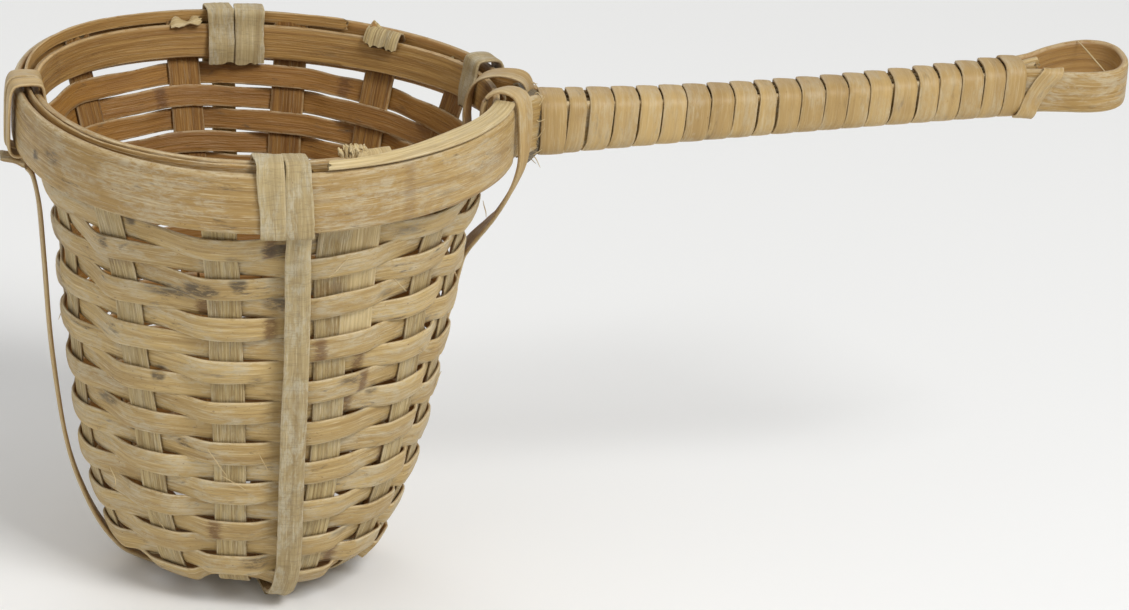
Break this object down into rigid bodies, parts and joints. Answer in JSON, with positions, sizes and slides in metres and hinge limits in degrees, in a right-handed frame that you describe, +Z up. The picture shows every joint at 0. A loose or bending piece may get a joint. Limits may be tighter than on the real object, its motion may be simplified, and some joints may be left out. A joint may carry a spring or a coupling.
{
  "type": "tea strainer",
  "caption": "Woven bamboo tea strainer: a tapered basket on a hooped rim, with a wrapped handle and hanging loop.",
  "frame": {"origin": "on the basket's axis, on the surface that the strainer stands on", "axes": "+Z up out of the basket's mouth, +X from the basket along the handle"},
  "size_m": [0.1573, 0.0725, 0.0753],
  "materials": {
    "hoop_skin": "split bamboo with its skin, mottled grey-white",
    "inner_wood": "inner bamboo, warm brown with fine grain",
    "stake_wood": "split bamboo, straight fibres",
    "weaver_skin": "thin bamboo splint, pale tan with grey blotches",
    "pale_cut": "freshly cut bamboo, pale cream",
    "grey_strip": "dry bamboo strip, grey-cream and fibrous",
    "smooth_strip": "thin flexible bamboo strip, satin",
    "wrap_strip": "thin flexible bamboo strip, satin",
    "loop_skin": "split bamboo, smooth skin side out"
  },
  "bodies": {
    "root": {"outer_hoop": "hoop_skin", "inner_hoop": "inner_wood", "rim_filler": "inner_wood", "rim_cover": "pale_cut", "rim_tuft": "pale_cut", "stake_splint_1": "stake_wood", "stake_splint_2": "stake_wood", "stake_splint_3": "stake_wood", "stake_splint_4": "stake_wood", "stake_splint_5": "stake_wood", "stake_splint_6": "stake_wood", "stake_short": "stake_wood", "stake_overlay": "pale_cut", "weaver_1": "weaver_skin", "weaver_2": "weaver_skin", "weaver_3": "weaver_skin", "weaver_4": "weaver_skin", "weaver_5": "weaver_skin", "weaver_6": "weaver_skin", "strap_front_back": "grey_strip", "strap_side": "smooth_strip", "front_binding_1": "grey_strip", "front_binding_2": "grey_strip", "back_binding_1": "smooth_strip", "back_binding_2": "smooth_strip", "left_binding_1": "smooth_strip", "left_binding_2": "smooth_strip", "handle_binding_1": "smooth_strip", "handle_binding_2": "grey_strip", "neck_fibres": "grey_strip", "handle_wrap": "wrap_strip", "wrap_tail": "wrap_strip", "handle_loop_strip": "loop_skin", "handle_core": "pale_cut"}
  },
  "joints": []
}
